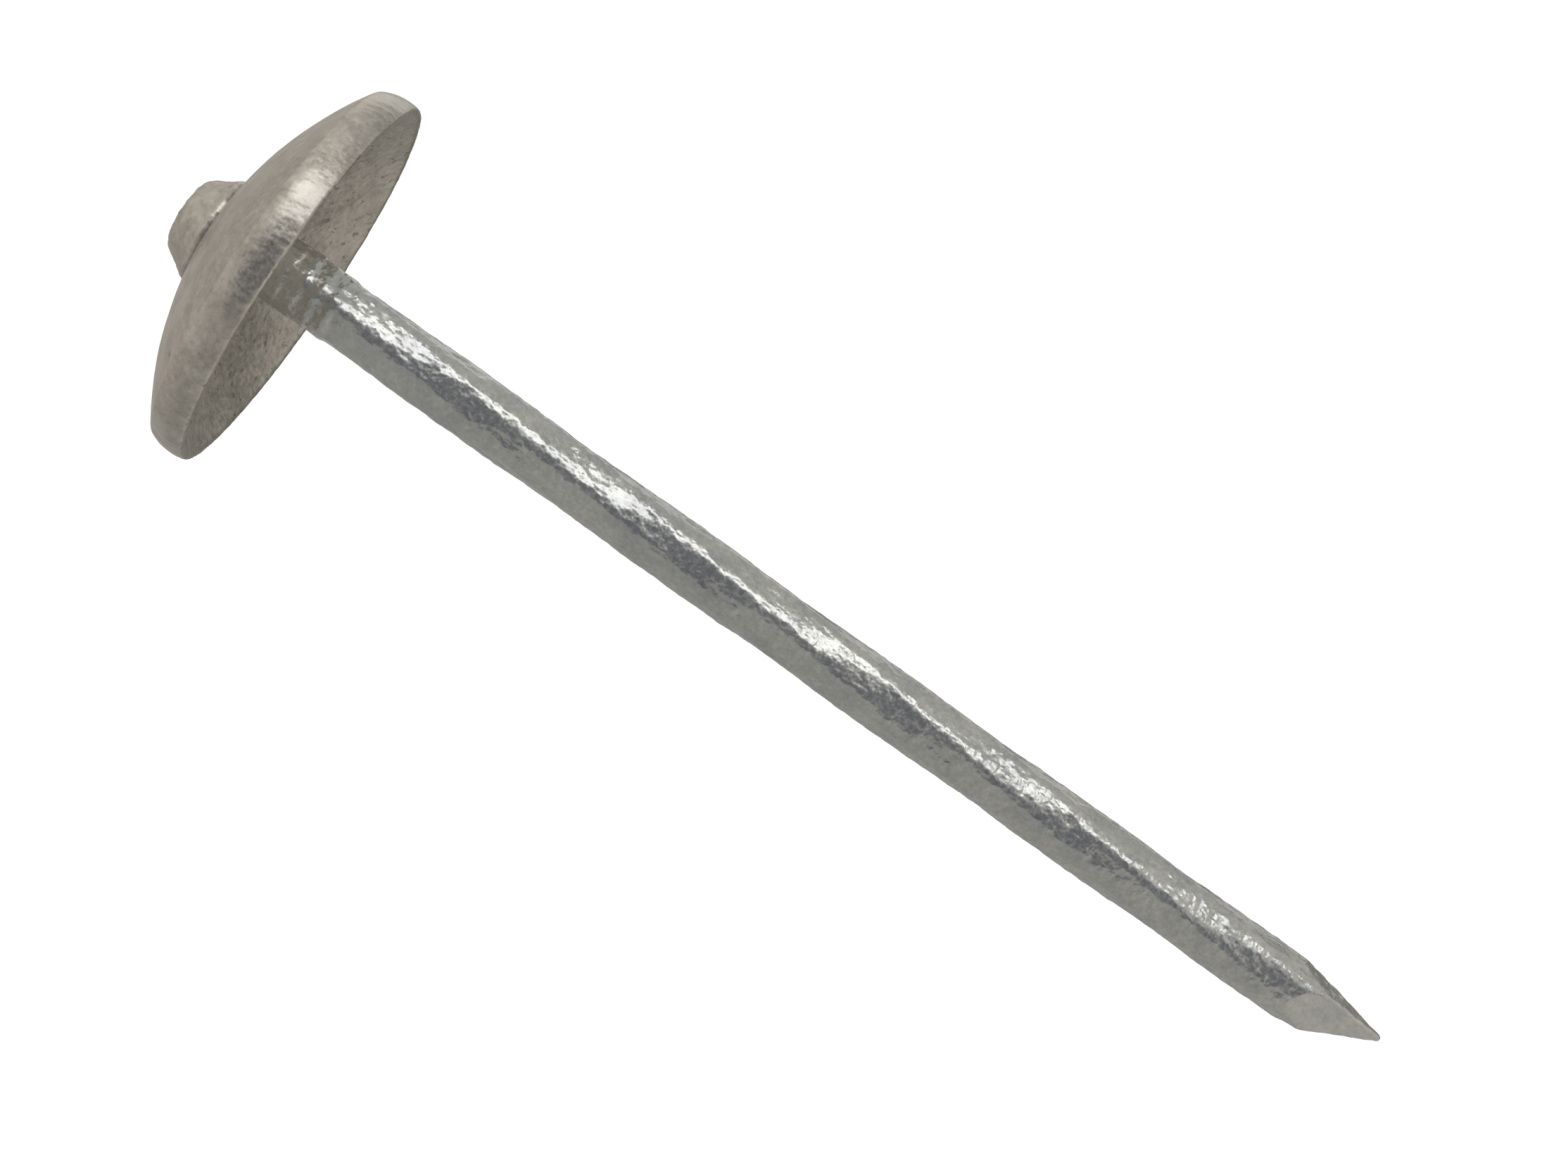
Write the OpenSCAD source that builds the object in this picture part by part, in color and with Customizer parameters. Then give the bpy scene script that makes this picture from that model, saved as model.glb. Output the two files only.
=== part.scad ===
// Umbrella head roofing nail: a twisted wire nail with a pressed steel cap held under its head.
// Z runs up the wire and out of the head, and the cap's rim rests on the plane Z = 0.
// Real pieces: the nail is one wire, and the cap is one pressing with a hole for it.

/* [Cap] */
// Diameter over the cap's band, in mm
cap_d = 20; // [18:0.5:26]
// Height of the dome above the rim, carried on to the centre line
dome_h = 4.86; // [4.6:0.01:5.6]
// Height of the turned-down band below the dome
band_h = 1.82; // [1.2:0.01:2]
// How far the band leans in between its widest part and the dome
band_lean = 0.34; // [0:0.01:0.5]
// Thickness of the cap's sheet under the head
sheet_t = 1.1; // [0.6:0.1:1.2]
// Height of the hollow above the rim, carried on to the centre line
hollow_h = 3.7; // [3:0.1:4]
// Width of the flat ring that the cap rests on
rim_w = 0.4; // [0.2:0.1:1]
// Diameter of the flat seat that the head sits on
seat_d = 5.7; // [5.6:0.1:6.4]

/* [Head] */
// Diameter of the head where it meets its seat
head_d = 5.6; // [4.8:0.1:5.8]
// Diameter that the head's sloping sides come in to at its full height
head_top_d = 3.4; // [2.8:0.1:4]
// Height of the head above its seat
head_h = 1.88; // [1.2:0.01:2.4]
// How far the head lies off the wire's axis, away from the side that the tip leans to
head_shift = 0.35; // [0:0.05:0.5]

/* [Shank] */
// Length from the rim's plane down to the tip
shank_l = 63.5; // [38:0.5:90]
// Size of the six-sided shank from flat to flat
across_flats = 3.12; // [2.8:0.02:3.4]
// Length of one full right-hand turn of the twist
twist_pitch = 72.4; // [40:0.1:100]
// Length of the diamond point
point_l = 4.7; // [3.5:0.1:7]
// How far the cropped tip lies to one side of the axis
tip_offset = 0.45; // [0:0.05:0.6]

/* [Hidden] */
$fn = 96;
eps = 0.01;
clear = 1;

// The dome is part of a sphere through the top of the band, cut flat under the head
cap_r = cap_d / 2;
crease_r = cap_r - band_lean;
dome_rise = dome_h - band_h;
dome_r = (crease_r^2 + dome_rise^2) / (2 * dome_rise);
dome_z = dome_h - dome_r;
seat_z = dome_z + sqrt(dome_r^2 - seat_d^2 / 4);

// The band bulges like a barrel, and its lower edge is eased
rim_ease = 0.12;
belly_low = 0.35;
belly_high = 0.95;

// The hollow is part of a sphere through the inner edge of the rim, cut flat under the crown
hollow_edge_r = cap_r - rim_ease - rim_w;
hollow_r = (hollow_edge_r^2 + hollow_h^2) / (2 * hollow_h);
hollow_z = hollow_h - hollow_r;
under_z = seat_z - sheet_t;

// The head is a cone with an eased lower edge, under a shallow crown
head_z = seat_z + head_h;
head_crown_r = 7;
head_edge = 0.15;

// The wire is round where it passes through the cap, and swaged wider below the cap's crown
neck_d = across_flats;
root_top_swell = 0.35;
root_end_swell = 0.14;
root_z = -0.8;

// The shank's flats bulge a little, and meet in rounded ridges
sides = 6;
ridge_r = 0.55;
flat_bulge_r = 2.8;
first_flat_z = -10;
shank_top = 0.5;
point_z = point_l - shank_l;
twisted_l = shank_top - point_z;
twist_angle = 360 * twisted_l / twist_pitch;
degrees_a_slice = 8;
tip_d = 0.34;
tip_h = 0.12;

function twist_at(z) = 360 * (z - first_flat_z) / twist_pitch;

module ball_section(centre_z, radius, half_width, low, high)
    intersection() {
        translate([0, centre_z]) circle(r = radius);
        translate([0, low]) square([half_width, high - low]);
    }

module cap_section()
    difference() {
        union() {
            polygon([[0, 0], [cap_r - rim_ease, 0], [cap_r, belly_low], [cap_r, belly_high],
                     [crease_r, band_h], [0, band_h]]);
            ball_section(dome_z, dome_r, crease_r, band_h - eps, seat_z);
        }
        ball_section(hollow_z, hollow_r, hollow_edge_r, -clear, under_z);
        translate([0, -clear]) square([neck_d / 2, seat_z + 2 * clear]);
    }

// One flat faces -Y where the twist is nought
module bar_section()
    offset(r = ridge_r, $fn = 16)
        intersection_for(side = [1:sides])
            rotate(360 * side / sides - 90)
                translate([across_flats / 2 - flat_bulge_r, 0])
                    circle(r = flat_bulge_r - ridge_r, $fn = 24);

module head()
    translate([-head_shift, 0, 0])
        intersection() {
            union() {
                translate([0, 0, seat_z + head_edge])
                    cylinder(h = head_h - head_edge, d1 = head_d, d2 = head_top_d);
                translate([0, 0, seat_z])
                    cylinder(h = head_edge + eps, d1 = head_d - 2 * head_edge, d2 = head_d);
            }
            translate([0, 0, head_z - head_crown_r]) sphere(r = head_crown_r);
        }

module twisted_bar()
    translate([0, 0, point_z])
        rotate(twist_at(point_z))
            linear_extrude(height = twisted_l, twist = -twist_angle,
                           slices = ceil(twist_angle / degrees_a_slice))
                bar_section();

module diamond_point()
    hull() {
        translate([0, 0, point_z - eps])
            rotate(twist_at(point_z))
                linear_extrude(height = 2 * eps) bar_section();
        translate([tip_offset, 0, -shank_l])
            cylinder(h = tip_h, d = tip_d, $fn = 8);
    }

module nail()
    color("darkgray") {
        head();
        translate([0, 0, under_z - eps])
            cylinder(h = seat_z - under_z + head_edge, d = neck_d);
        translate([0, 0, root_z])
            cylinder(h = under_z - root_z, d1 = neck_d + 2 * root_end_swell,
                     d2 = neck_d + 2 * root_top_swell);
        twisted_bar();
        diamond_point();
    }

module umbrella_cap()
    color("gray") rotate_extrude() cap_section();

nail();
umbrella_cap();
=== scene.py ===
# %% [markdown]
# # An umbrella head roofing nail, dipped in zinc
# This lesson dresses a small piece of hardware: a twisted wire nail that carries a pressed steel cap
# under its head. The CAD model gives the frame and the sizes. Here the two pieces get their real
# surface: rolled and twisted steel, a cropped point, soft edges, and a coat of hot-dip zinc with its
# lumps, runs and pits. All sizes are real ones, written in millimetres, and Blender works in metres.

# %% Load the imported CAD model
import math

import bpy
import numpy as np
from mathutils import Matrix, Vector


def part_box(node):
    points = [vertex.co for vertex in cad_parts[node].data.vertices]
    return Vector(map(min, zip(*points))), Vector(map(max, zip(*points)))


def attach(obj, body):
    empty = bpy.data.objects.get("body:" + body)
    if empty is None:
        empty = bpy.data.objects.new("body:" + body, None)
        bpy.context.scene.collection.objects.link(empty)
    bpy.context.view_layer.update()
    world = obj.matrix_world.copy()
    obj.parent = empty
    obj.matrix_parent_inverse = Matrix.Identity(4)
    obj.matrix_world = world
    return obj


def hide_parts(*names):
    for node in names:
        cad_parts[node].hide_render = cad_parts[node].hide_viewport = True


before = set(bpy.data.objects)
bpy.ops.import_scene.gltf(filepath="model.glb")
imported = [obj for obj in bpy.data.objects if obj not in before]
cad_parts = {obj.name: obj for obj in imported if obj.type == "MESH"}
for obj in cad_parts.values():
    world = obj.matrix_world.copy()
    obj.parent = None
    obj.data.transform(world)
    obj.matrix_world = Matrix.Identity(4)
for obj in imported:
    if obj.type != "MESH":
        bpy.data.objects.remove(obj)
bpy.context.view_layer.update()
mm = 0.001
nail_low, nail_high = (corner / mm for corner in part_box("nail"))
_, cap_high = (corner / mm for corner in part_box("umbrella_cap"))
tip_z, crown_z, cap_r = nail_low.z, nail_high.z, cap_high.x
print(f"tip at {tip_z:.1f} mm, crown at {crown_z:.1f} mm, cap {2 * cap_r:.1f} mm across")

# %% [markdown]
# ## One helper for all node trees
# A node tree is built by adding nodes and wiring their inputs. One small function does both: a value
# is typed into a socket, and a node or an output is linked to it. A node stands for its first output.
# A second one turns hex colours, which are coded for a screen, into the linear colours of light.

# %% Add a node
def add(tree, kind, inputs=None, **settings):
    """Adds a node, sets it up, and fills its inputs, which are given by number or by name."""
    node = tree.nodes.new(kind)
    for name, value in settings.items():
        setattr(node, name, value)
    for key, value in (inputs or {}).items():
        if isinstance(value, bpy.types.Node):
            value = value.outputs[0]
        if isinstance(value, bpy.types.NodeSocket):
            tree.links.new(value, node.inputs[key])
        else:
            node.inputs[key].default_value = value
    return node


def linear(hex_colour):
    """Turns an sRGB hex colour into the linear numbers that a shader needs."""
    parts = [int(hex_colour[i : i + 2], 16) / 255 for i in (1, 3, 5)]
    return [c / 12.92 if c <= 0.04045 else ((c + 0.055) / 1.055) ** 2.4 for c in parts] + [1]


print("helpers ready")

# %% [markdown]
# ## Outlines
# Both pieces are round before anything else happens to them: the head is upset between round dies,
# and the cap is pressed on a round punch. Each starts as half a cross-section, drawn as corners at a
# radius and a height. A line between two corners may bow out, as the dome does. Zinc and dies leave
# no sharp edge, so a running average eases the corners, and the points are then spread out evenly,
# closer together where the shape is small. The metal is always on the left of the line.

# %% Draw an outline
fine_step = 0.01


def drawn(corners, ease, closed):
    """Close points along lines that may bow, with corners eased over a length on either side."""
    points = []
    ends = corners[1:] + corners[:1] if closed else corners[1:]
    for (r0, z0, bow), (r1, z1, _) in zip(corners, ends):
        length = math.dist((r0, z0), (r1, z1))
        across = np.array([z1 - z0, r0 - r1]) / length
        t = np.arange(0, 1, fine_step / length)[:, None]
        line = np.array([r0, z0]) * (1 - t) + np.array([r1, z1]) * t
        points.append(line + across * 4 * bow * t * (1 - t))
    points = np.concatenate(points + ([] if closed else [[corners[-1][:2]]]))
    half = int(ease / fine_step)
    window = np.ones(2 * half + 1) / (2 * half + 1)
    if closed:
        padded = np.pad(points, ((half, half), (0, 0)), mode="wrap")
    else:
        radii = np.pad(points[:, 0], half, mode="reflect", reflect_type="odd")
        padded = np.stack([radii, np.pad(points[:, 1], half, mode="reflect")], axis=1)
    return np.stack([np.convolve(column, window, "valid") for column in padded.T], axis=1)


def outline_mesh(name, points, spacing, closed):
    """A chain of points in metres, spaced by spacing(radius, height), for a tree to turn."""
    if closed:
        points = np.concatenate([points, points[:1]])
    steps = np.linalg.norm(np.diff(points, axis=0), axis=1)
    middles = (points[1:] + points[:-1]) / 2
    along = np.concatenate([[0], np.cumsum(steps / spacing(middles[:, 0], middles[:, 1]))])
    places = np.linspace(0, along[-1], int(along[-1]) + 1)
    radii, heights = (np.interp(places, along, points[:, i]) * mm for i in (0, 1))
    if not closed:
        radii[0] = radii[-1] = 0
    mesh = bpy.data.meshes.new(name)
    chain = [(i, i + 1) for i in range(len(radii) - 1)]
    mesh.from_pydata([(r, 0, z) for r, z in zip(radii, heights)], chain, [])
    piece = bpy.data.objects.new(name, mesh)
    bpy.context.scene.collection.objects.link(piece)
    print(f"{name}: an outline of {len(radii)} points")
    return piece


print(f"outlines are drawn in steps of {fine_step} mm")

# %% [markdown]
# ## Turning an outline
# A lathe would sweep the outline round the axis. In Geometry Nodes a flat grid does the same: its
# columns are the steps round, and each of its rows takes the radius and height of one outline point.
# The rules of each piece can then change a radius or a height before anything is put in place. The
# Screw modifier or the Spin tool would turn an outline too, but they can't change a ring on the way.

# %% Rings from an outline
def rings(tree, source):
    """A grid whose columns go round and whose rows follow the outline: grid, angle, radius, height."""
    count = add(tree, "GeometryNodeAttributeDomainSize", {"Geometry": source.outputs["Outline"]})
    last = add(tree, "ShaderNodeMath", {0: count, 1: 1.0}, operation="SUBTRACT")
    columns = add(tree, "ShaderNodeMath", {0: source.outputs["Steps Round"], 1: 1.0})
    grid = add(tree, "GeometryNodeMeshGrid", {"Size X": math.tau, "Size Y": last})
    tree.links.new(columns.outputs[0], grid.inputs["Vertices X"])
    tree.links.new(count.outputs[0], grid.inputs["Vertices Y"])
    flat = add(tree, "ShaderNodeSeparateXYZ", {0: add(tree, "GeometryNodeInputPosition")})
    middle = add(tree, "ShaderNodeMath", {0: last, 1: 0.5}, operation="MULTIPLY")
    row = add(tree, "ShaderNodeMath", {0: flat.outputs["Y"], 1: middle})
    whole = add(tree, "FunctionNodeFloatToInt", {0: row}, rounding_mode="ROUND")
    place = add(tree, "GeometryNodeInputPosition")
    sample = add(tree, "GeometryNodeSampleIndex", data_type="FLOAT_VECTOR")
    tree.links.new(source.outputs["Outline"], sample.inputs["Geometry"])
    tree.links.new(place.outputs[0], sample.inputs["Value"])
    tree.links.new(whole.outputs[0], sample.inputs["Index"])
    point = add(tree, "ShaderNodeSeparateXYZ", {0: sample})
    return grid, flat.outputs["X"], point.outputs["X"], point.outputs["Z"]


def placed(tree, grid, angle, radius, height, aside):
    """Puts each grid point at its radius, angle and height, moved to one side along X."""
    point = add(tree, "ShaderNodeCombineXYZ", {0: radius, 2: height})
    turned = {"Vector": point, "Angle": angle}
    round_axis = add(tree, "ShaderNodeVectorRotate", turned, rotation_type="Z_AXIS")
    shift = add(tree, "ShaderNodeCombineXYZ", {0: aside})
    here = add(tree, "ShaderNodeVectorMath", {0: round_axis, 1: shift})
    return add(tree, "GeometryNodeSetPosition", {"Geometry": grid.outputs["Mesh"], "Position": here})


print("rings ready")

# %% [markdown]
# ## A tree's start, its end, and its run
# Each piece has its own tree, with named inputs for its sizes, so that the same tree could make a
# longer nail or a wider cap. A tree ends by making real geometry and giving it the piece's finish. It
# is then run once, and the piece keeps the result as a plain mesh.

# %% Start, finish and run a tree
def new_tree(name, sizes):
    """A tree with an outline, a material and named sizes for inputs, and its two end nodes."""
    tree = bpy.data.node_groups.new(name, "GeometryNodeTree")
    tree.interface.new_socket("Outline", in_out="INPUT", socket_type="NodeSocketGeometry")
    for label, (kind, value) in sizes.items():
        socket = tree.interface.new_socket(label, in_out="INPUT", socket_type="NodeSocket" + kind)
        socket.default_value = value
    tree.interface.new_socket("Material", in_out="INPUT", socket_type="NodeSocketMaterial")
    tree.interface.new_socket("Piece", in_out="OUTPUT", socket_type="NodeSocketGeometry")
    return tree, tree.nodes.new("NodeGroupInput"), tree.nodes.new("NodeGroupOutput")


def finish_tree(tree, source, target, mesh):
    """Ends a tree: smooth faces, real geometry, and the piece's material."""
    smooth = add(tree, "GeometryNodeSetShadeSmooth", {"Geometry": mesh})
    real = add(tree, "GeometryNodeRealizeInstances", {0: smooth})
    dressed = {"Geometry": real, "Material": source.outputs["Material"]}
    dressed = add(tree, "GeometryNodeSetMaterial", dressed)
    tree.links.new(dressed.outputs[0], target.inputs["Piece"])
    print(f"{tree.name}: {len(tree.nodes)} nodes")


def grow(piece, tree, values):
    """Runs a tree on an outline and keeps the result as the piece's own plain mesh."""
    modifier = piece.modifiers.new(tree.name, "NODES")
    modifier.node_group = tree
    sockets = {s.name: s.identifier for s in tree.interface.items_tree if s.in_out == "INPUT"}
    for label, value in values.items():
        modifier[sockets[label]] = value
    shown = piece.evaluated_get(bpy.context.evaluated_depsgraph_get())
    mesh = bpy.data.meshes.new_from_object(shown)
    piece.modifiers.remove(modifier)
    piece.data = mesh
    print(f"{piece.name}: {len(mesh.polygons)} faces")


print("trees ready")

# %% [markdown]
# ## The nail: twisted six-sided wire
# The shank began as round wire. Dies pressed six flats on it, soft ones that still bulge, and it was
# then twisted by most of a turn, so that it grips the wood like a slow screw. The twist runs a little
# tighter towards the point. Curve to Mesh with a tilt would twist a bar too, but this piece goes from
# a round head to a six-sided shank and a cropped point without a joint. So each ring keeps its own
# radius, and the tree bends the rule: the radius grows towards six ridges that turn with the height.
#
# Most inputs are lengths. Ridge Rise is a share of the radius. Tightening is the length in which the
# wire would gather twice the turns of an even twist. Facet Slope is how far a facet moves out from the
# axis in each millimetre above the tip.

# %% Sizes of the nail
nail_sizes = {
    "Steps Round": ("Int", 140),
    "Ridges": ("Float", 6.0),
    "Ridge Rise": ("Float", 0.0263),
    "Twist Pitch": ("Float", 75.8 * mm),
    "Tightening": ("Float", 616 * mm),
    "Ridge Height": ("Float", -9.34 * mm),
    "Round Above": ("Float", 1.5 * mm),
    "Facet Angle": ("Float", math.radians(-107)),
    "Facet Slope": ("Float", 0.27),
    "Facet Ease": ("Float", 0.12 * mm),
    "Tip Height": ("Float", tip_z * mm),
    "Tip Half": ("Float", 0.13 * mm),
    "Tip Offset": ("Float", 0.5 * mm),
    "Head Offset": ("Float", -0.35 * mm),
    "Head Lean": ("Float", math.radians(2.2)),
    "Lump Height": ("Float", 0.05 * mm),
    "Lump Size": ("Float", 1.5 * mm),
    "Fleck Height": ("Float", 0.15 * mm),
    "Fleck Size": ("Float", 0.45 * mm),
    "Nick Place": ("Vector", (-1.75 * mm, -1.35 * mm, 5.5 * mm)),
    "Nick Size": ("Float", 0.16 * mm),
    "Seed": ("Float", 7.0),
}
nail_tree, nail_start, nail_end = new_tree("twisted_wire_nail", nail_sizes)
nail_grid, angle, radius, height = rings(nail_tree, nail_start)
size_of = nail_start.outputs
print(f"the nail has {len(nail_sizes)} sizes")

# %% [markdown]
# The cosine of six times the angle is highest on six ridges and lowest on six flats. Adding a little
# of it to a round wire gives soft ridges and bulging flats in one step. The ridges fade out where the
# wire widens under the cap, because the neck above that is still the round wire.

# %% Roll six flats on the wire and twist it
full_ridge_z = -1.0


def ridge_angle(tree):
    """How far the ridges have turned at this height: pitch by pitch, and tighter lower down."""
    rise = add(tree, "ShaderNodeMath", {0: height, 1: size_of["Ridge Height"]}, operation="SUBTRACT")
    turns = add(tree, "ShaderNodeMath", {0: rise, 1: size_of["Twist Pitch"]}, operation="DIVIDE")
    part = add(tree, "ShaderNodeMath", {0: rise, 1: size_of["Tightening"]}, operation="DIVIDE")
    pace = add(tree, "ShaderNodeMath", {0: 1.0, 1: part}, operation="SUBTRACT")
    turned = add(tree, "ShaderNodeMath", {0: turns, 1: pace}, operation="MULTIPLY")
    return add(tree, "ShaderNodeMath", {0: turned, 1: math.tau}, operation="MULTIPLY")


def six_sided_radius(tree):
    """The wire's radius, with soft ridges below the cap and none above it."""
    side = add(tree, "ShaderNodeMath", {0: angle, 1: ridge_angle(tree)}, operation="SUBTRACT")
    sides = add(tree, "ShaderNodeMath", {0: side, 1: size_of["Ridges"]}, operation="MULTIPLY")
    ridge = add(tree, "ShaderNodeMath", {0: sides}, operation="COSINE")
    limits = {0: height, 1: size_of["Round Above"], 2: full_ridge_z * mm, 4: size_of["Ridge Rise"]}
    rise = add(tree, "ShaderNodeMapRange", limits, interpolation_type="SMOOTHSTEP")
    share = add(tree, "ShaderNodeMath", {0: ridge, 1: rise, 2: 1.0}, operation="MULTIPLY_ADD")
    return add(tree, "ShaderNodeMath", {0: radius, 1: share}, operation="MULTIPLY")


wire_radius = six_sided_radius(nail_tree)
print(f"twisted wire: {len(nail_tree.nodes)} nodes")

# %% [markdown]
# The diamond point is not ground. Two pairs of dies pinch the wire off, which leaves four flat
# facets, and the last of the metal is dragged a little to one side. A facet is a plane, and a plane
# cuts a ring at a distance that grows as one over the cosine of the angle from the facet's middle.
# A smooth minimum keeps whichever is nearer, the wire or the facet, and eases the edge between them.

# %% Crop the diamond point
drag_start_z = tip_z + 4
neck_z, head_base_z = 4.1, 4.6


def cropped_radius(tree, wire):
    """The smaller of the wire's radius and the nearest of four facets that close towards the tip."""
    above = add(tree, "ShaderNodeMath", {0: height, 1: size_of["Tip Height"]}, operation="SUBTRACT")
    reach = {0: above, 1: size_of["Facet Slope"], 2: size_of["Tip Half"]}
    facet = add(tree, "ShaderNodeMath", reach, operation="MULTIPLY_ADD")
    from_middle = {0: angle, 1: size_of["Facet Angle"]}
    aside = add(tree, "ShaderNodeMath", from_middle, operation="SUBTRACT")
    quarter = math.pi / 4
    nearest = add(tree, "ShaderNodeMath", {0: aside, 1: quarter, 2: -quarter}, operation="WRAP")
    narrow = add(tree, "ShaderNodeMath", {0: nearest}, operation="COSINE")
    plane = add(tree, "ShaderNodeMath", {0: facet, 1: narrow}, operation="DIVIDE")
    both = {0: wire, 1: plane, 2: size_of["Facet Ease"]}
    return add(tree, "ShaderNodeMath", both, operation="SMOOTH_MIN")


def drift(tree):
    """How far a ring's middle lies to one side: the dragged tip, and the head set off the axis."""
    down = {0: height, 1: drag_start_z * mm, 2: tip_z * mm, 4: size_of["Tip Offset"]}
    tip = add(tree, "ShaderNodeMapRange", down)
    up = {0: height, 1: neck_z * mm, 2: head_base_z * mm, 4: size_of["Head Offset"]}
    head = add(tree, "ShaderNodeMapRange", up)
    return add(tree, "ShaderNodeMath", {0: tip, 1: head})


nail_radius = cropped_radius(nail_tree, wire_radius)
nail_drift = drift(nail_tree)
print(f"point and head: {len(nail_tree.nodes)} nodes")

# %% [markdown]
# ## The zinc's relief
# The zinc goes on next. Molten zinc runs off unevenly and freezes in shallow lumps a millimetre or two
# across, with smaller flecks on top. A noise of each size pushes the surface along its own normal, so
# the relief is in the mesh, and catches light from every side. A knock in the soft coat leaves a pit.
# The grid's seam and its poles are merged first, so that the mesh is closed.

# %% Lumps, flecks and a nick
seam_gap = 0.0005


def relief(tree, sizes, label, stretch):
    """A height from noise of the named size, from minus a half to plus a half of the named height."""
    spot = add(tree, "GeometryNodeInputPosition")
    longer = add(tree, "ShaderNodeVectorMath", {0: spot, 1: stretch}, operation="MULTIPLY")
    scale = add(tree, "ShaderNodeMath", {0: 1.0, 1: sizes[label + " Size"]}, operation="DIVIDE")
    settings = {"Vector": longer, "W": sizes["Seed"], "Scale": scale, "Detail": 1.5}
    noise = add(tree, "ShaderNodeTexNoise", settings, noise_dimensions="4D")
    level = add(tree, "ShaderNodeMath", {0: noise, 1: 0.5}, operation="SUBTRACT")
    return add(tree, "ShaderNodeMath", {0: level, 1: sizes[label + " Height"]}, operation="MULTIPLY")


def nick(tree, sizes):
    """A pit in the zinc, a quarter as deep as it is wide, where something knocked it."""
    spot = add(tree, "GeometryNodeInputPosition")
    gap = {0: spot, 1: sizes["Nick Place"]}
    away = add(tree, "ShaderNodeVectorMath", gap, operation="DISTANCE").outputs["Value"]
    depth = add(tree, "ShaderNodeMath", {0: sizes["Nick Size"], 1: -0.5}, operation="MULTIPLY")
    pit = {0: away, 2: 0.0, 4: depth}
    pit = add(tree, "ShaderNodeMapRange", pit, interpolation_type="SMOOTHSTEP")
    tree.links.new(sizes["Nick Size"], pit.inputs["From Min"])
    return pit


def coated(tree, mesh, height_on_surface):
    """Closes the seam and the poles, and pushes the surface out by the zinc's height."""
    joined = add(tree, "GeometryNodeMergeByDistance", {"Geometry": mesh, "Distance": seam_gap * mm})
    out = add(tree, "GeometryNodeInputNormal")
    push = add(tree, "ShaderNodeVectorMath", {0: out, 3: height_on_surface}, operation="SCALE")
    return add(tree, "GeometryNodeSetPosition", {"Geometry": joined, "Offset": push})


print("relief ready")

# %% [markdown]
# Now the nail's rings are put in place and coated. The head was struck a little crooked, so its
# heights also rise from one side to the other. The zinc ran down the wire as it drained, so a share
# below one draws its lumps and flecks out along the wire.

# %% Place the rings and freeze the zinc on them
level_z, leaned_z = 3.9, 4.7
lump_shape, fleck_shape = (1.0, 1.0, 0.6), (1.0, 1.0, 0.7)


def leaned_height(tree):
    """Heights that rise from side to side in the head."""
    around = add(tree, "ShaderNodeMath", {0: angle}, operation="COSINE")
    aside = add(tree, "ShaderNodeMath", {0: around, 1: radius}, operation="MULTIPLY")
    lean = {0: height, 1: level_z * mm, 2: leaned_z * mm, 4: size_of["Head Lean"]}
    tilt = add(tree, "ShaderNodeMapRange", lean)
    return add(tree, "ShaderNodeMath", {0: aside, 1: tilt, 2: height}, operation="MULTIPLY_ADD")


nail_height = leaned_height(nail_tree)
bare = placed(nail_tree, nail_grid, angle, nail_radius, nail_height, nail_drift)
lumps = relief(nail_tree, size_of, "Lump", lump_shape)
flecks = relief(nail_tree, size_of, "Fleck", fleck_shape)
zinc = add(nail_tree, "ShaderNodeMath", {0: lumps, 1: flecks})
zinc = add(nail_tree, "ShaderNodeMath", {0: zinc, 1: nick(nail_tree, size_of)})
dipped = coated(nail_tree, bare, zinc)
finish_tree(nail_tree, nail_start, nail_end, dipped)

# %% [markdown]
# ## The cap: one pressing
# A disc of sheet steel was punched, domed and turned down at the edge in one press stroke, so it is
# round and it is hollow. Its outline is a closed loop. Zinc ran down the turned-down band while it
# froze, which leaves fine upright streaks there: a noise that is drawn out in height gives them.

# %% Sizes of the cap
cap_sizes = {
    "Steps Round": ("Int", 780),
    "Lean": ("Vector", (0.0, math.radians(-1.55), 0.0)),
    "Aside": ("Vector", (-0.02 * mm, 0.0, 0.0)),
    "Lump Height": ("Float", 0.06 * mm),
    "Lump Size": ("Float", 2.0 * mm),
    "Fleck Height": ("Float", 0.02 * mm),
    "Fleck Size": ("Float", 0.5 * mm),
    "Run Height": ("Float", 0.06 * mm),
    "Run Size": ("Float", 0.28 * mm),
    "Nick Place": ("Vector", (-5.9 * mm, -6.93 * mm, 2.25 * mm)),
    "Nick Size": ("Float", 0.22 * mm),
    "Seed": ("Float", 3.0),
}
cap_tree, cap_start, cap_end = new_tree("pressed_umbrella_cap", cap_sizes)
cap_grid, cap_angle, cap_radius, cap_height = rings(cap_tree, cap_start)
sizes = cap_start.outputs
print(f"the cap has {len(cap_sizes)} sizes")

# %% [markdown]
# The lumps, the flecks and the streaks add up to one height. The streaks are kept to the band.

# %% Turn the cap and freeze the zinc on it
dome_edge_z, band_z = 1.75, 1.5
as_is = (1.0, 1.0, 1.0)
drawn_out = (1.0, 1.0, 0.12)
round_cap = placed(cap_tree, cap_grid, cap_angle, cap_radius, cap_height, 0.0)
lumps = relief(cap_tree, sizes, "Lump", as_is)
flecks = relief(cap_tree, sizes, "Fleck", as_is)
runs = relief(cap_tree, sizes, "Run", drawn_out)
spot = add(cap_tree, "ShaderNodeSeparateXYZ", {0: add(cap_tree, "GeometryNodeInputPosition")})
limits = {0: spot.outputs["Z"], 1: dome_edge_z * mm, 2: band_z * mm}
on_band = add(cap_tree, "ShaderNodeMapRange", limits)
band_runs = add(cap_tree, "ShaderNodeMath", {0: runs, 1: on_band}, operation="MULTIPLY")
zinc = add(cap_tree, "ShaderNodeMath", {0: lumps, 1: flecks})
zinc = add(cap_tree, "ShaderNodeMath", {0: zinc, 1: band_runs})
zinc = add(cap_tree, "ShaderNodeMath", {0: zinc, 1: nick(cap_tree, sizes)})
dipped = coated(cap_tree, round_cap, zinc)
print(f"coated cap: {len(cap_tree.nodes)} nodes")

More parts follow.
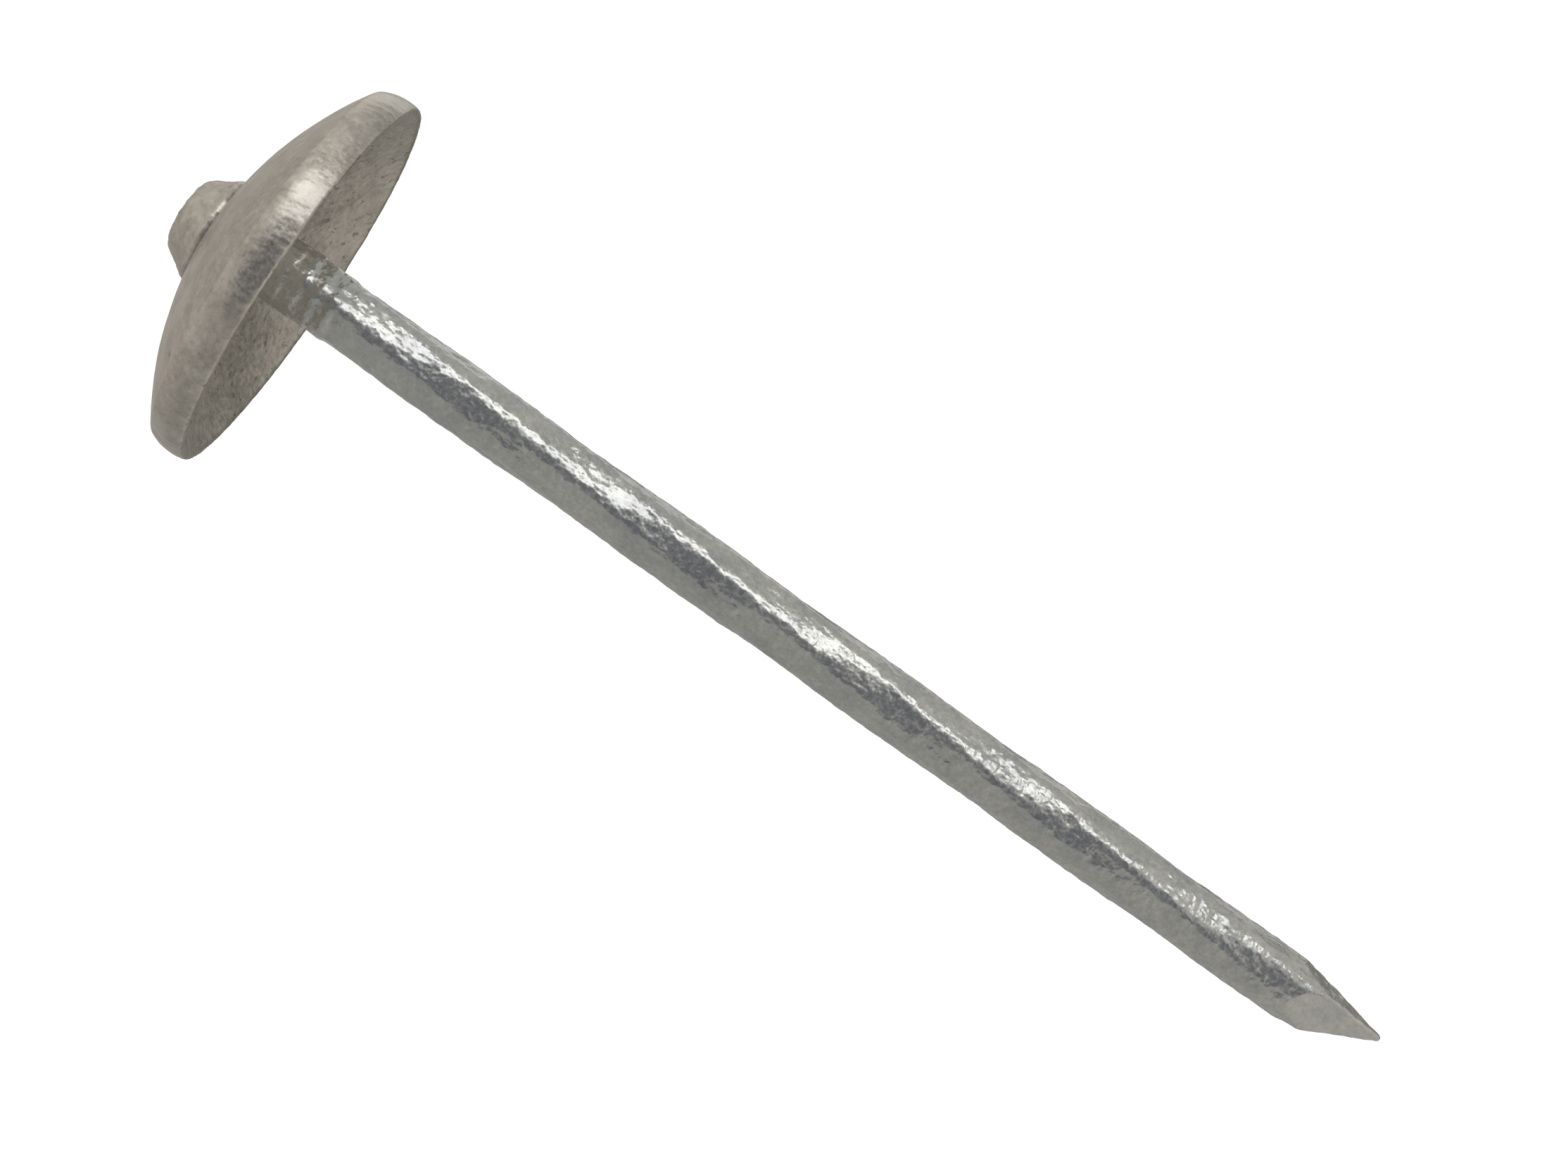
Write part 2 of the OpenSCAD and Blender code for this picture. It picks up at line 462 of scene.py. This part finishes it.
# %% [markdown]
# Faces that look down are marked with an attribute, so that the finish can put its pits on them. The
# cap also sits a degree or two out of true on the wire, so it is turned and moved a little at the end.

# %% Mark the underside and set the cap down askew
level_facing, down_facing = -0.2, -0.5
facing = add(cap_tree, "ShaderNodeSeparateXYZ", {0: add(cap_tree, "GeometryNodeInputNormal")})
limits = {0: facing.outputs["Z"], 1: level_facing, 2: down_facing}
below = add(cap_tree, "ShaderNodeMapRange", limits)
told = {"Geometry": dipped, "Name": "underside", "Value": below}
told = add(cap_tree, "GeometryNodeStoreNamedAttribute", told, data_type="FLOAT", domain="POINT")
set_down = {"Geometry": told, "Translation": sizes["Aside"], "Rotation": sizes["Lean"]}
askew = add(cap_tree, "GeometryNodeTransform", set_down)
finish_tree(cap_tree, cap_start, cap_end, askew)

# %% [markdown]
# ## Pits
# Ash and dross from the zinc bath float up and catch on faces that look down, and leave small dark
# pits there. The highest peaks of a fine noise make them, wherever the underside attribute is on.

# %% Pits on an underside
pit_size = 0.35
pit_edge, pit_middle = 0.61, 0.68
deepest = 0.6


def pitting(tree, place, tone):
    """Darkens a tone in small pits where the piece's underside attribute is on."""
    dots = {"Vector": place, "Scale": 1 / (pit_size * mm), "Detail": 2.0, "Roughness": 0.6}
    dots = add(tree, "ShaderNodeTexNoise", dots)
    deep = add(tree, "ShaderNodeMapRange", {0: dots, 1: pit_edge, 2: pit_middle, 4: deepest})
    below = add(tree, "ShaderNodeAttribute", attribute_name="underside").outputs["Fac"]
    share = add(tree, "ShaderNodeMath", {0: deep, 1: below}, operation="MULTIPLY")
    pits = {0: share, 6: tone, 7: linear("#6F685E")}
    return add(tree, "ShaderNodeMix", pits, data_type="RGBA").outputs[2]


print("pits ready")

# %% [markdown]
# ## Hot-dip zinc, in two finishes
# Both pieces were dipped in the same bath, and they differ in how the zinc froze. On the wire it
# froze fast and thin, and stayed bright. On the cap and the head it stayed hot for longer, the iron
# grew through it, and it dried to a warm, matt grey. Zinc is a metal, so the shader is fully metallic
# with its default IOR, and the look comes from roughness and relief. Three noises do it: a wide
# mottling between two tones, small specks, of which the darker ones are glossier, and a grain of
# crystals in the bump. Each has its real size in millimetres. A noise seldom leaves the middle of its
# range, so the ranges below stretch that middle.

# %% Zinc finishes
mottle_range = (0.35, 0.65)
speck_range = (0.3, 0.7)
speck_shades = (0.86, 1.08)
gloss_range = (0.38, 0.62)


def zinc_finish(name, light, dark, mottle, speck, rough, grain):
    """A metallic zinc coat: two tones, sizes in millimetres, lowest and highest roughness, and grain."""
    material = bpy.data.materials.new(name)
    material.use_nodes = True
    tree = material.node_tree
    shader = tree.nodes["Principled BSDF"]
    shader.inputs["Metallic"].default_value = 1.0
    place = add(tree, "ShaderNodeTexCoord").outputs["Object"]
    wide = {"Vector": place, "Scale": 1 / (mottle * mm), "Detail": 4.0, "Roughness": 0.6}
    wide = add(tree, "ShaderNodeTexNoise", wide)
    share = add(tree, "ShaderNodeMapRange", {0: wide, 1: mottle_range[0], 2: mottle_range[1]})
    tones = {0: share, 6: linear(dark), 7: linear(light)}
    tone = add(tree, "ShaderNodeMix", tones, data_type="RGBA").outputs[2]
    small = {"Vector": place, "Scale": 1 / (speck * mm), "Detail": 3.0, "Roughness": 0.7}
    small = add(tree, "ShaderNodeTexNoise", small)
    shades = {0: small, 1: speck_range[0], 2: speck_range[1], 3: speck_shades[0], 4: speck_shades[1]}
    shade = add(tree, "ShaderNodeMapRange", shades)
    speckled = {0: 1.0, 6: tone, 7: shade}
    speckled = add(tree, "ShaderNodeMix", speckled, data_type="RGBA", blend_type="MULTIPLY")
    tree.links.new(pitting(tree, place, speckled.outputs[2]), shader.inputs["Base Color"])
    gloss = {0: small, 1: gloss_range[0], 2: gloss_range[1], 3: rough[0], 4: rough[1]}
    gloss = add(tree, "ShaderNodeMapRange", gloss)
    tree.links.new(gloss.outputs[0], shader.inputs["Roughness"])
    crystals = {"Vector": place, "Scale": 1 / (grain[0] * mm), "Detail": 1.0}
    crystals = add(tree, "ShaderNodeTexNoise", crystals)
    bump = {"Height": crystals, "Distance": grain[1] * mm, "Strength": 1.0}
    bump = add(tree, "ShaderNodeBump", bump)
    tree.links.new(bump.outputs[0], shader.inputs["Normal"])
    print(f"{name}: {len(tree.nodes)} nodes")
    return material


# Thin zinc on cold-drawn wire: a cool, fairly glossy metal that breaks a flash of light into flecks
bright_zinc = zinc_finish(
    "bright_hot_dip_zinc",
    light="#D2D3CF",
    dark="#C0C2C2",
    mottle=2.0,
    speck=0.26,
    rough=(0.14, 0.34),
    grain=(0.3, 0.04),
)
# Zinc with iron grown through it, on sheet: a warm grey that spreads a flash into a soft sheen
matt_zinc = zinc_finish(
    "matt_hot_dip_zinc",
    light="#CCC8C1",
    dark="#B5B0A8",
    mottle=1.2,
    speck=0.3,
    rough=(0.24, 0.4),
    grain=(0.3, 0.02),
)

# %% [markdown]
# ## Build the nail
# The outline runs from the tip up the wire, over the swelling below the cap, through the neck, and
# round the button head to its crown. The machine's dies gripped the wire just below the cap while the
# head was struck, and left faint rings, each a slope with a step back.

# %% Outline of the nail
shank_r = 1.6
seat_z = 4.62
grip_marks = []
for mark_z in (-1.9, -1.0, -0.1, 0.8, 1.7):
    grip_marks.append((shank_r + 0.08, mark_z, 0))
    grip_marks.append((shank_r + 0.04, mark_z + 0.65, 0))
nail_outline = [
    (0, tip_z, 0),
    (0.16, tip_z + 0.05, 0),
    (shank_r, tip_z + 3.9, 0),
    (shank_r, -2.2, 0),
    *grip_marks,
    (1.95, 3.46, 0),
    (1.53, 3.5, 0),
    (1.53, seat_z - 0.05, 0),
    (2.7, seat_z - 0.05, 0),
    (2.77, seat_z + 0.1, 0),
    (2.72, seat_z + 0.3, 0),
    (2.42, seat_z + 0.66, 0),
    (2.2, seat_z + 1.02, 0),
    (1.98, seat_z + 1.38, 0.03),
    (1.65, seat_z + 1.68, 0.03),
    (1.0, seat_z + 1.82, 0.01),
    (0, crown_z - 0.04, 0),
]
print(f"the nail is drawn with {len(nail_outline)} corners")

# %% [markdown]
# The head froze as slowly as the cap did, so its faces take the matt finish, and the wire keeps the
# bright one.

# %% Nail piece
marked_z = -2.5
shank_step, head_step = 0.118, 0.07
head_face_z = 4.4


def nail_spacing(r, z):
    """Finer on the grip marks and the head than along the shank."""
    return np.where(z < marked_z, shank_step, head_step)


nail_points = drawn(nail_outline, ease=0.1, closed=False)
nail = outline_mesh("twisted_nail", nail_points, nail_spacing, closed=False)
grow(nail, nail_tree, {"Material": bright_zinc})
nail.data.materials.clear()
for finish in (bright_zinc, matt_zinc):
    nail.data.materials.append(finish)
for face in nail.data.polygons:
    face.material_index = int(face.center.z > head_face_z * mm)

# %% [markdown]
# ## Build the cap
# The outline starts at the hole under the crown, goes down inside the hollow to the rim, and comes
# back up the band and over the dome to the flat seat under the head. The dome, the band and the hollow
# are lines that bow.

# %% Cap piece
dome_bow = 0.358
band_bow = 0.17
hollow_bow = -0.5
seat_edge_r, band_r = 3.2, 9.3
seat_step, band_step, dome_step = 0.11, 0.12, 0.2
cap_outline = [
    (1.9, 3.48, 0),
    (2.6, 3.46, hollow_bow),
    (cap_r - 0.45, 0.05, 0),
    (cap_r - 0.14, 0.03, band_bow),
    (cap_r - 0.37, 1.82, dome_bow),
    (3.0, 4.58, 0),
    (2.6, seat_z, 0),
    (1.9, seat_z, 0),
]


def cap_spacing(r, z):
    """Finer where the head sits and on the band, and coarser on the dome and in the hollow."""
    return np.where(r < seat_edge_r, seat_step, np.where(r > band_r, band_step, dome_step))


cap_points = drawn(cap_outline, ease=0.08, closed=True)
cap = outline_mesh("pressed_cap", cap_points, cap_spacing, closed=True)
grow(cap, cap_tree, {"Material": matt_zinc})

# %% [markdown]
# ## Hang the pieces on the frame
# Each piece rides on the CAD model's one body and stands in for its own node, which is hidden.

# %% Ride and replace
for piece, node, slot in ((nail, "nail", "zinc_shank"), (cap, "umbrella_cap", "zinc_cap")):
    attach(piece, "root")
    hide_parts(node)
    print(f"{piece.name} stands for {node}")

# %% [markdown]
# ## Camera
# The camera stands close in front of the nail, level with a point a little above its middle, and is
# rolled over, so that the nail crosses the picture from upper left to lower right. Its place, its aim
# and its roll are given as one matrix.

# %% Camera
camera = bpy.data.objects.new("camera", bpy.data.cameras.new("camera"))
bpy.context.scene.collection.objects.link(camera)
eye = Vector((0, -117.96, -16.6))
aim = Vector((1.80, 0, -26.50))
roll_angle = math.radians(54.48)
forward = (aim - eye).normalized()
roll = Matrix.Rotation(roll_angle, 4, forward)
upright = forward.to_track_quat("-Z", "Y").to_matrix().to_4x4()
camera.matrix_world = Matrix.Translation(eye * mm) @ roll @ upright
camera.data.lens = 56.78
camera.data.sensor_width = 36
camera.data.clip_start = 0.01
bpy.context.scene.camera = camera
print(f"camera {(aim - eye).length:.0f} mm away, with a {camera.data.lens:.1f} mm lens")

# %% [markdown]
# ## Studio
# Bare metal shows its surroundings, so the surroundings are what is designed here. They are a plain
# grey room, lighter and warmer above and below. Soft darker patches are laid over that, one after
# another: a faint one high behind the nail, a dark one low behind it, and a tall dark one on the side
# that the camera stands on, as when a photographer leans over a small thing.

# %% Surroundings
world = bpy.data.worlds.new("studio")
bpy.context.scene.world = world
world.use_nodes = True
sky = world.node_tree
sky.nodes.clear()
way = add(sky, "ShaderNodeTexCoord").outputs["Generated"]
part = add(sky, "ShaderNodeSeparateXYZ", {0: way})


def towards(direction, start, full, stretch=(1.0, 1.0, 1.0)):
    """How far a direction is within a soft patch: 0 outside start, and 1 inside full."""
    aim = Vector(direction).normalized()
    shaped = add(sky, "ShaderNodeVectorMath", {0: way, 1: stretch}, operation="MULTIPLY")
    even = add(sky, "ShaderNodeVectorMath", {0: shaped}, operation="NORMALIZE")
    near = add(sky, "ShaderNodeVectorMath", {0: even, 1: aim}, operation="DOT_PRODUCT")
    limits = {0: near.outputs["Value"], 1: start, 2: full}
    return add(sky, "ShaderNodeMapRange", limits, interpolation_type="SMOOTHSTEP")


steep = 0.8
above = {0: part.outputs["Z"], 2: steep}
up = add(sky, "ShaderNodeMapRange", above, interpolation_type="SMOOTHSTEP")
below = {0: part.outputs["Z"], 2: -steep}
down = add(sky, "ShaderNodeMapRange", below, interpolation_type="SMOOTHSTEP")
high_behind, low_behind = (0.0, 0.8, 0.6), (0.3, 0.77, -0.56)
in_front, tall = (-0.07, -0.997, 0.05), (1.0, 1.0, 0.5)
patches = [
    (up, "#C3BFB9"),
    (down, "#BAB6B0"),
    (towards(high_behind, 0.6, 0.95), "#ADA9A3"),
    (towards(low_behind, 0.6, 0.95), "#7C7A75"),
    (towards(in_front, 0.88, 0.97, stretch=tall), "#727377"),
]
room = linear("#A2A19D")
for share, colour in patches:
    layers = {0: share, 6: room, 7: linear(colour)}
    room = add(sky, "ShaderNodeMix", layers, data_type="RGBA").outputs[2]
print(f"{len(patches)} patches of grey")

# %% [markdown]
# The whole room is a little brighter on the side of the soft boxes. The camera itself sees plain
# white instead of the room.

# %% Background
paper_white = {"Color": linear("#FFFFFF"), "Strength": 1.1}
left, right = -0.7, 0.7
left_strength, right_strength = 1.05, 1.4
brighter = {0: part.outputs["X"], 1: left, 2: right, 3: left_strength, 4: right_strength}
brighter = add(sky, "ShaderNodeMapRange", brighter)
studio = add(sky, "ShaderNodeBackground", {"Color": room, "Strength": brighter})
white = add(sky, "ShaderNodeBackground", paper_white)
seen = add(sky, "ShaderNodeLightPath").outputs["Is Camera Ray"]
either = add(sky, "ShaderNodeMixShader", {0: seen, 1: studio, 2: white})
add(sky, "ShaderNodeOutputWorld", {0: either})
bpy.context.scene.view_settings.view_transform = "Standard"
print(f"surroundings: {len(sky.nodes)} nodes")

# %% [markdown]
# Two tall soft boxes stand on the nail's right. The first, towards the camera, gives the flashes on
# the twist and on the band. The second is behind the nail, and weaker, so that the back isn't flat.

# %% Soft lights
box_width, box_height = 105, 340


def soft_light(name, place, watts):
    """A soft box that faces the cap and that the camera doesn't see."""
    lamp = bpy.data.lights.new(name, "AREA")
    lamp.shape = "RECTANGLE"
    lamp.size = box_width * mm
    lamp.size_y = box_height * mm
    lamp.energy = watts
    box = bpy.data.objects.new(name, lamp)
    bpy.context.scene.collection.objects.link(box)
    box.location = Vector(place) * mm
    box.rotation_euler = (-Vector(place)).to_track_quat("-Z", "Y").to_euler()
    box.visible_camera = False
    print(f"{name}: {watts} W")


soft_light("key_box", (171, -190, 40), 0.15)
soft_light("back_box", (164, 195, 0), 0.04)

# %% [markdown]
# The floor is plain white card just under the tip. Only the camera sees it, so that it throws no light
# of its own on the metal.

# %% Floor
floor_half = 0.6
floor_gap = 0.2
floor_z = (tip_z - floor_gap) * mm
square = ((-1, -1), (1, -1), (1, 1), (-1, 1))
corners = [(x * floor_half, y * floor_half, floor_z) for x, y in square]
floor_mesh = bpy.data.meshes.new("floor")
floor_mesh.from_pydata(corners, [], [(0, 1, 2, 3)])
floor = bpy.data.objects.new("floor", floor_mesh)
bpy.context.scene.collection.objects.link(floor)
# White card, lit evenly: a flat white without a shade or a sheen
card = bpy.data.materials.new("white_card")
card.use_nodes = True
card.node_tree.nodes.clear()
glow = add(card.node_tree, "ShaderNodeEmission", paper_white)
add(card.node_tree, "ShaderNodeOutputMaterial", {0: glow})
floor_mesh.materials.append(card)
floor.visible_diffuse = False
floor.visible_glossy = False
floor.visible_shadow = False
print("floor laid")
